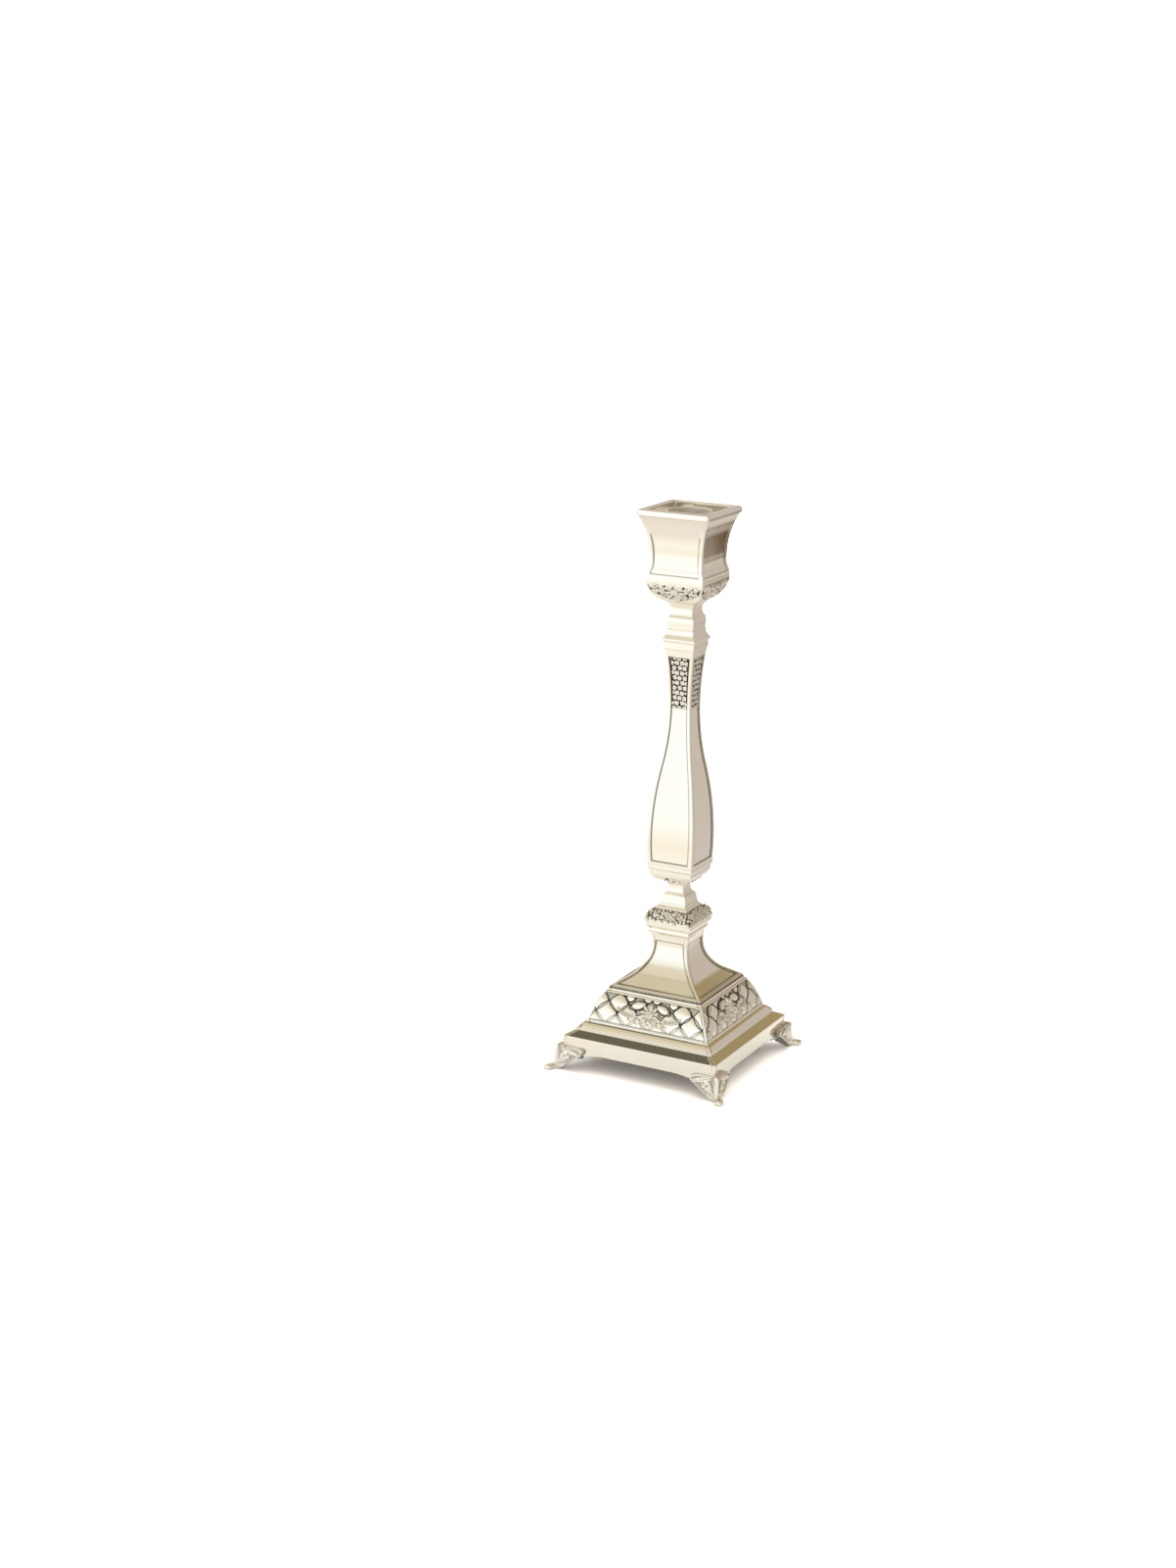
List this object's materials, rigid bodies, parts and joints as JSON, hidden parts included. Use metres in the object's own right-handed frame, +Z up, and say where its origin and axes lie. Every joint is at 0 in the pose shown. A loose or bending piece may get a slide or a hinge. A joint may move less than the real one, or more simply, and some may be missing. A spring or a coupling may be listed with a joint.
{
  "type": "candlestick",
  "caption": "Square polished silver-plated candlestick on cast corner feet, with a lift-out nozzle for one standard taper candle.",
  "frame": {"origin": "centre of the footprint, on the surface the four feet stand on", "axes": "+Z up the stem to the rim; -Y is the front face, +X the right face"},
  "size_m": [0.1054, 0.1054, 0.3],
  "materials": {
    "polished_silver": "mirror-polished silver plate on cast brass, slightly warm",
    "nozzle_silver": "mirror-polished silver plate on drawn brass",
    "relief_silver": "polished relief with darkened, oxidised recesses",
    "foot_silver": "cast relief, polished high points and lightly darkened recesses",
    "plain_steel": "zinc-plated steel"
  },
  "bodies": {
    "stick": {"base_shell": "polished_silver", "baluster": "polished_silver", "neck": "polished_silver", "cup_shell": "polished_silver", "waist_spool": "polished_silver", "knop": "relief_silver", "trellis_front": "relief_silver", "stem_plaque_front": "relief_silver", "trellis_right": "relief_silver", "stem_plaque_right": "relief_silver", "trellis_back": "relief_silver", "stem_plaque_back": "relief_silver", "trellis_left": "relief_silver", "stem_plaque_left": "relief_silver", "foot_front_right": "foot_silver", "foot_back_right": "foot_silver", "foot_back_left": "foot_silver", "foot_front_left": "foot_silver", "tie_rod": "plain_steel", "base_nut": "plain_steel", "base_washer": "plain_steel", "cup_nut": "plain_steel", "cup_washer": "plain_steel", "foot_screws": "plain_steel"},
    "nozzle": {"nozzle_rim": "nozzle_silver", "candle_well": "nozzle_silver"}
  },
  "joints": [
    {"name": "nozzle_lift", "type": "slide", "parent": "stick", "child": "nozzle", "axis": [0, 0, 1], "range_m": [0, 0.03]}
  ]
}
